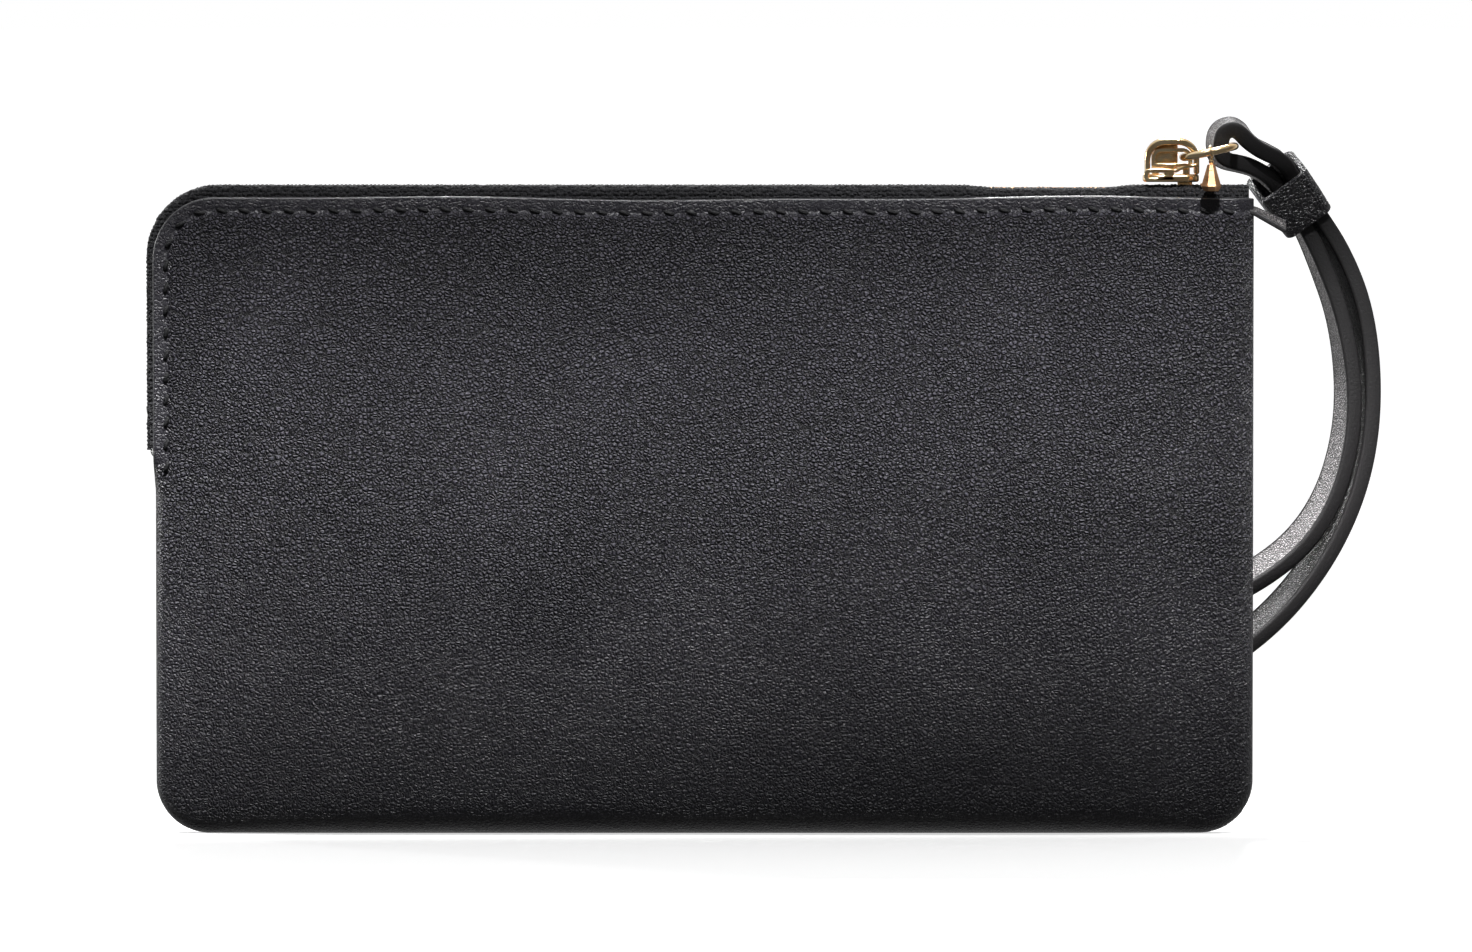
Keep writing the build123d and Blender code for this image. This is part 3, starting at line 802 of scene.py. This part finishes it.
def lock_lever():
    """Sprung frame with the window that the ring passes through."""
    low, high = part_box("slider_lock_lever")
    left, right, base, crown = low[0], high[0], low[2], high[2]
    band = 0.6 * MM
    inner = rectangle(left + band, base + 0.5 * MM, right - band, crown - band)
    outline = rounded_outline(rectangle(left, base, right, crown), (0.2 * MM, 0.2 * MM, 1.5 * MM, 1.5 * MM))
    window = rounded_outline(inner, (0.1 * MM, 0.1 * MM, 0.8 * MM, 0.8 * MM))
    return bevelled(extruded("lock_lever", outline, low[1], high[1], hole=window), 0.15 * MM)


def tube(name, points, radius, sides=14, closed=False, per=8):
    """Round wire through the points of a smooth line."""
    line = smooth_line(points, per, closed)
    return sweep(name, line, lambda index: circle(radius, sides), closed, lambda index: Vector((0, 1, 0.001)))


def circle(radius, sides):
    """Round section."""
    angles = [2 * math.pi * k / sides for k in range(sides)]
    return [(radius * math.cos(angle), radius * math.sin(angle)) for angle in angles]


def smooth_line(points, per, closed):
    """Quadratic B-spline with these control points: straight where they are in line, round at corners."""
    count = len(points)
    line = []
    spans = range(count) if closed else range(1, count - 1)
    for index in spans:
        here = points[index]
        before = points[index - 1]
        after = points[(index + 1) % count]
        start = (before + here) / 2 if closed or index > 1 else before
        stop = (here + after) / 2 if closed or index < count - 2 else after
        for step in range(per):
            t = step / per
            line.append(start * (1 - t) ** 2 + here * (2 * t * (1 - t)) + stop * t ** 2)
    if not closed:
        line.append(points[-1])
    return line


def sweep(name, line, section, closed, width_way):
    """Skin over sections set square to a line.

    Each section is given as (across the width, through the thickness)."""
    count = len(line)
    vertices = []
    size = 0
    for index, place in enumerate(line):
        before = line[index - 1] if closed or index else place
        after = line[(index + 1) % count] if closed or index < count - 1 else place
        heading = (after - before).normalized()
        wide = width_way(index)
        wide = (wide - heading * wide.dot(heading)).normalized()
        thick = heading.cross(wide)
        outline = section(index)
        size = len(outline)
        vertices += [tuple(place + wide * a + thick * b) for a, b in outline]
    return mesh_piece(name, vertices, band_faces(count, size, closed))


# ---- Strap ----

KEEPER_START = Vector((86.6, 0, 98.2)) * MM
KEEPER_END = Vector((91.0, 0, 92.1)) * MM
KEEPER_DOWN = (KEEPER_END - KEEPER_START).normalized()
KEEPER_ACROSS = Vector((-KEEPER_DOWN.z, 0, KEEPER_DOWN.x))
STRAND_GAP = 2.8 * MM
STRAP_THICK = 2.45 * MM
STRAP_WIDE = 6.4 * MM
LINK_BAR = Vector((79.5, 0, 102.7)) * MM
# Strap's lean in mm: (distance from the ring along the keeper's way, distance from the middle plane).
LEAN = ((-14.0, 2.5), (0.0, 2.5), (3.0, 4.4), (7.4, 8.3), (11.5, 10.7), (16.0, 12.3), (22.0, 12.8),
        (75.0, 13.2))


def lean_depth(place):
    """Strap's distance from the middle plane: out past the front panel as it goes down."""
    run = (place - LINK_BAR).dot(KEEPER_DOWN) / MM
    runs = [stop[0] for stop in LEAN]
    depths = [stop[1] for stop in LEAN]
    near = [float(np.interp(run + shift, runs, depths)) for shift in (-1.5, 0.0, 1.5)]
    return sum(near) / 3 * MM


def keeper_point(base, run, side):
    """Middle of one strand in or near the keeper."""
    return base + KEEPER_DOWN * (run * MM) + KEEPER_ACROSS * (side * STRAND_GAP / 2)


def strap_route():
    """(middle line's corner, twist) round the strap's loop. Twist turns the outer face towards the viewer."""
    def at(x, z):
        return Vector((x, 0, z)) * MM

    bight = [(at(77.5, 100.7), 0.1), (at(76.9, 102.8), 0.16), (at(77.4, 105.0), 0.18),
             (at(79.6, 105.8), 0.12), (at(82.2, 102.9), 0.04), (keeper_point(KEEPER_START, -2.4, 0.86), 0.0)]
    inside_right = [(keeper_point(KEEPER_START, 0.0, 1), 0.0), (keeper_point(KEEPER_END, 0.0, 0.86), -0.14)]
    right_run = [(at(95.9, 86.3), -0.26), (at(99.0, 78.3), -0.28), (at(100.4, 68.5), -0.24),
                 (at(100.0, 58.5), -0.26), (at(97.6, 49.2), -0.34), (at(93.0, 40.1), -0.42),
                 (at(86.2, 31.6), -0.45), (at(77.4, 24.9), -0.45), (at(67.6, 20.4), -0.35),
                 (at(55.5, 17.4), -0.2)]
    end = [(at(42.0, 15.6), 0.0), (at(39.0, 22.0), 0.0), (at(42.0, 29.2), 0.0)]
    left_run = [(at(54.0, 30.4), 0.2), (at(64.5, 31.4), 0.4), (at(74.0, 33.4), 0.5), (at(82.6, 37.2), 0.5),
                (at(89.9, 42.6), 0.47), (at(94.6, 49.8), 0.42), (at(97.0, 58.5), 0.35),
                (at(97.4, 67.0), 0.3), (at(96.0, 76.5), 0.2), (at(93.2, 84.4), 0.18)]
    inside_left = [(keeper_point(KEEPER_END, 0.0, -0.86), 0.08), (keeper_point(KEEPER_START, 0.0, -1), 0.0),
                   (at(82.3, 99.4), 0.05)]
    return bight + inside_right + right_run + end + left_run + inside_left


def strap_section():
    """Strap's section: slightly hollow faces and full, rounded painted edges."""
    half_wide = STRAP_WIDE / 2
    half_thick = STRAP_THICK / 2
    corner = 0.5 * MM
    bend_steps = 4
    quarter = [(0.4 * half_wide, half_thick - 0.08 * MM), (half_wide - 0.62 * MM, half_thick - 0.1 * MM)]
    for step in range(bend_steps + 1):
        angle = math.pi / 2 * step / bend_steps
        wide = half_wide - corner + corner * math.sin(angle)
        quarter.append((wide, half_thick - corner + corner * math.cos(angle)))
    quarter += [(half_wide + 0.05 * MM, 0.2 * MM)]
    right = quarter + [(a, -b) for a, b in reversed(quarter)]
    return right + [(-a, -b) for a, b in right]


def paint_edges(obj, across_limit):
    """Paints the edges past the limit across the strap. The outer face keeps the leather painted light grey
    as painted sheen, and the loop's inner side takes a darker copy of it, painted as its shade.
    """
    outline = strap_section()
    size = len(outline)
    for index, face in enumerate(obj.data.polygons):
        here = index % size
        middle = (outline[here][0] + outline[(here + 1) % size][0]) / 2
        below = outline[here][1] + outline[(here + 1) % size][1] < 0
        face.material_index = 1 if abs(middle) > across_limit else 2 if below else 0


def wrist_strap():
    """The whole strap as one looped band, which stands for both of its layers."""
    route = strap_route()
    points = []
    for place, _ in route:
        lifted = place.copy()
        lifted.y = lean_depth(place)
        points.append(lifted)
    per = 10
    line = smooth_line(points, per, True)
    twists = smooth_line([Vector((twist, 0, 0)) for _, twist in route], per, True)
    outline = strap_section()
    count = len(line)

    def width_way(index):
        heading = (line[(index + 1) % count] - line[index - 1]).normalized()
        outward = Vector((-heading.z, 0, heading.x)).normalized()
        return Vector((0, 1, 0)) + outward * twists[index].x

    strap = sweep("looped_strap", line, lambda index: outline, True, width_way)
    paint_edges(strap, STRAP_WIDE / 2 - 0.6 * MM)
    return strap


def strap_keeper():
    """Sleeve of folded leather round both strands."""
    half_across = (STRAND_GAP + STRAP_THICK) / 2 + 0.5 * MM
    half_wide = STRAP_WIDE / 2 + 0.1 * MM
    wall = 0.95 * MM
    loose = KEEPER_ACROSS * (-0.45 * MM)
    start = KEEPER_START - KEEPER_DOWN * (0.2 * MM) + loose
    stop = KEEPER_END - KEEPER_DOWN * (0.5 * MM) + loose
    start.y = lean_depth(start)
    stop.y = lean_depth(stop)
    way = stop - start
    heading = way.normalized()
    wide = Vector((0, 1, 0))
    wide = (wide - heading * wide.dot(heading)).normalized()
    across = heading.cross(wide)
    outside = keeper_ring(half_wide + wall, half_across + wall, 1.3 * MM)
    inside = keeper_ring(half_wide, half_across, 0.6 * MM)
    rows = 22
    shares = [row / (rows - 1) for row in range(rows)]
    vertices = []

    def add_row(share, ring, swell):
        """One row of the wall, set square to the way the keeper runs."""
        place = start + way * share
        for a, b in ring:
            vertices.append(tuple(place + wide * (a * swell) + across * (b * swell)))

    for share in shares:
        add_row(share, outside, 1.0 + 0.035 * math.sin(math.pi * share) + 0.06 * (1 - share) ** 3)
    for share in reversed(shares):
        add_row(share, inside, 1.0 + 0.06 * (1 - share) ** 3)
    sleeve = mesh_piece("keeper", vertices, band_faces(2 * rows, len(inside), closed=True))
    return bevelled(sleeve, 0.25 * MM, 3, 50.0)


def keeper_ring(half_wide, half_across, corner):
    """Rounded rectangle as (across the width, across the strands)."""
    return rounded_outline(rectangle(-half_wide, -half_across, half_wide, half_across), (corner,) * 4, 6)


def end_tab():
    """Leather tab at the zip's closed end, tipped so that its near edge hangs lower."""
    points = [(77.0, 94.3), (82.6, 93.4), (87.3, 91.0), (86.9, 90.3), (82.4, 92.6), (77.0, 93.5)]
    radii = (0, 3 * MM, 0.25 * MM, 0.25 * MM, 3 * MM, 0)
    outline = rounded_outline([(x * MM, z * MM) for x, z in points], radii)
    tab = bevelled(extruded("end_tab_leather", outline, -2.25 * MM, 2.25 * MM), 0.2 * MM, 2)
    for vertex in tab.data.vertices:
        vertex.co.z += 0.28 * vertex.co.y * float(smooth(80 * MM, 85 * MM, vertex.co.x))
    # The tab's broad faces take the strap leather painted light grey as painted sheen; its cut edges and tip
    # take the dark edge paint.
    for face in tab.data.polygons:
        face.material_index = 1 if abs(face.normal.y) > 0.3 or face.normal.x > 0.8 else 0
    return tab


# ---- Build the pieces ----

for label, side in (("back", -1), ("front", 1)):
    finish_piece(leather_panel("leather_" + label, side), "pouch", [PANEL_LEATHER, CUT_EDGE],
                 [label + "_panel"])
    finish_piece(stitching("stitches_" + label, side), "pouch", [THREAD], ["stitching_" + label])
    finish_piece(zip_tape("tape_" + label, side), "pouch", [TAPE_CLOTH], ["zip_tape_" + label])
    finish_piece(zip_teeth("teeth_" + label, side), "pouch", [BRASS], ["zip_teeth_" + label])

finish_piece(bottom_stop(), "pouch", [BRASS], ["zip_bottom_stop"])
finish_piece(lining_fold(), "pouch", [FOLD_CLOTH], [])
finish_piece(end_tab(), "pouch", [STRAP_FACE_PAINTED_SHEEN, STRAP_EDGE], ["zip_end_tab"])
finish_piece(slider_body(), "slider", [GOLD], ["slider_body"])
finish_piece(slider_cap(), "slider", [GOLD, PAINTED_SHADE_GOLD], ["slider_cap"])
finish_piece(lock_lever(), "lever", [GOLD], ["slider_lock_lever"])
finish_piece(wrist_strap(), "strap", [STRAP_FACE_PAINTED_SHEEN, STRAP_EDGE, STRAP_INNER_PAINTED_SHADE],
             ["wrist_strap", "strap_backing"])
finish_piece(strap_keeper(), "strap", [KEEPER_LEATHER, CUT_EDGE], ["strap_keeper"])

NODE_MATERIALS = {
    "strap_link": GOLD, "drop_pin": GOLD, "faceted_drop": ROSE_GOLD, "zip_top_stops": BRASS,
    "back_lining": LINING_CLOTH, "front_lining": LINING_CLOTH, "slip_pocket": POCKET_CLOTH,
    "card_pocket_1": POCKET_CLOTH, "card_pocket_2": POCKET_CLOTH, "card_pocket_3": POCKET_CLOTH,
    "back_stiffener": BOARD, "front_stiffener": BOARD,
}
for node, material in NODE_MATERIALS.items():
    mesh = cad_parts[node].data
    mesh.materials.clear()
    mesh.materials.append(material)


# ---- Floor, light and camera ----

def pale_floor():
    """Wide white floor under the object. It keeps out of reflections, so the object stays dark below."""
    mesh = bpy.data.meshes.new("floor")
    reach = 60.0
    corners = [(x, y, 0) for x, y in rectangle(-reach, -reach, reach, reach)]
    mesh.from_pydata(corners, [], [(0, 1, 2, 3)])
    obj = bpy.data.objects.new("floor", mesh)
    bpy.context.scene.collection.objects.link(obj)
    material, shader = new_material("floor_white", (0.9, 0.9, 0.9), 0.9, specular=0.0)
    shader.inputs["Emission Color"].default_value = (1.0, 1.0, 1.0, 1.0)
    shader.inputs["Emission Strength"].default_value = 0.6
    mesh.materials.append(material)
    obj.visible_glossy = False
    obj.visible_diffuse = False


def soft_light(name, place, target, size, power, spread):
    """Softbox with a grid, facing a point: its light stays within the spread, in degrees."""
    data = bpy.data.lights.new(name, "AREA")
    data.shape = "RECTANGLE"
    data.size, data.size_y = size
    data.energy = power
    data.spread = math.radians(spread)
    obj = bpy.data.objects.new(name, data)
    obj.location = place
    obj.rotation_euler = (Vector(target) - Vector(place)).to_track_quat("-Z", "Y").to_euler()
    obj.visible_camera = False
    bpy.context.scene.collection.objects.link(obj)


def smooth_share(tree, source, low, high, amount):
    """Rises smoothly from 0 to amount as the source goes from low to high."""
    node = tree.nodes.new("ShaderNodeMapRange")
    node.interpolation_type = "SMOOTHSTEP"
    for label, value in (("From Min", low), ("From Max", high), ("To Min", 0.0), ("To Max", amount)):
        node.inputs[label].default_value = value
    tree.links.new(source, node.inputs["Value"])
    return node.outputs[0]


def white_studio():
    """Pale surroundings, bright behind and overhead and dim in front. Seen directly they are plain white."""
    world = bpy.data.worlds.new("studio")
    bpy.context.scene.world = world
    world.use_nodes = True
    tree = world.node_tree
    place = tree.nodes.new("ShaderNodeTexCoord")
    way = tree.nodes.new("ShaderNodeSeparateXYZ")
    tree.links.new(place.outputs["Generated"], way.inputs[0])
    behind = smooth_share(tree, way.outputs["Y"], -0.1, 0.7, 0.5)
    overhead = smooth_share(tree, way.outputs["Z"], 0.3, 0.95, 0.45)
    total = tree.nodes.new("ShaderNodeMath")
    total.operation = "ADD"
    tree.links.new(behind, total.inputs[0])
    tree.links.new(overhead, total.inputs[1])
    base = tree.nodes.new("ShaderNodeMath")
    base.operation = "ADD"
    base.inputs[1].default_value = 0.1
    tree.links.new(total.outputs[0], base.inputs[0])
    direct = tree.nodes.new("ShaderNodeLightPath")
    seen = tree.nodes.new("ShaderNodeMix")
    seen.inputs[3].default_value = 1.0
    tree.links.new(direct.outputs["Is Camera Ray"], seen.inputs[0])
    tree.links.new(base.outputs[0], seen.inputs[2])
    tree.links.new(seen.outputs[0], tree.nodes["Background"].inputs["Strength"])
    tree.nodes["Background"].inputs["Color"].default_value = (1.0, 1.0, 1.0, 1.0)


def studio():
    """White surroundings, and three softboxes: high in front, high behind, and lower at the back left."""
    white_studio()
    soft_light("key", (0.02, -0.3, 0.52), (0.005, 0.0, 0.052), (0.24, 0.02), 0.136, spread=7.0)
    soft_light("back_key", (-0.01, 0.38, 0.5), (0.0, 0.0, 0.058), (0.26, 0.05), 0.16, spread=18.0)
    soft_light("side", (-0.5, 0.45, 0.2), (0.095, 0.01, 0.06), (0.15, 0.15), 0.12, spread=26.0)


def camera():
    """Long lens, looking slightly down at the object."""
    data = bpy.data.cameras.new("camera")
    distance = 1.6
    seen_width = 220.0 * MM
    data.sensor_width = 36.0
    data.lens = data.sensor_width * distance / seen_width
    target = Vector((5.1, 0.0, 53.4)) * MM
    elevation = math.radians(2.5)
    obj = bpy.data.objects.new("camera", data)
    obj.location = target + Vector((0.0, -math.cos(elevation), math.sin(elevation))) * distance
    obj.rotation_euler = (target - obj.location).to_track_quat("-Z", "Y").to_euler()
    bpy.context.scene.collection.objects.link(obj)
    bpy.context.scene.camera = obj


pale_floor()
studio()
camera()
bpy.context.scene.view_settings.view_transform = "Standard"
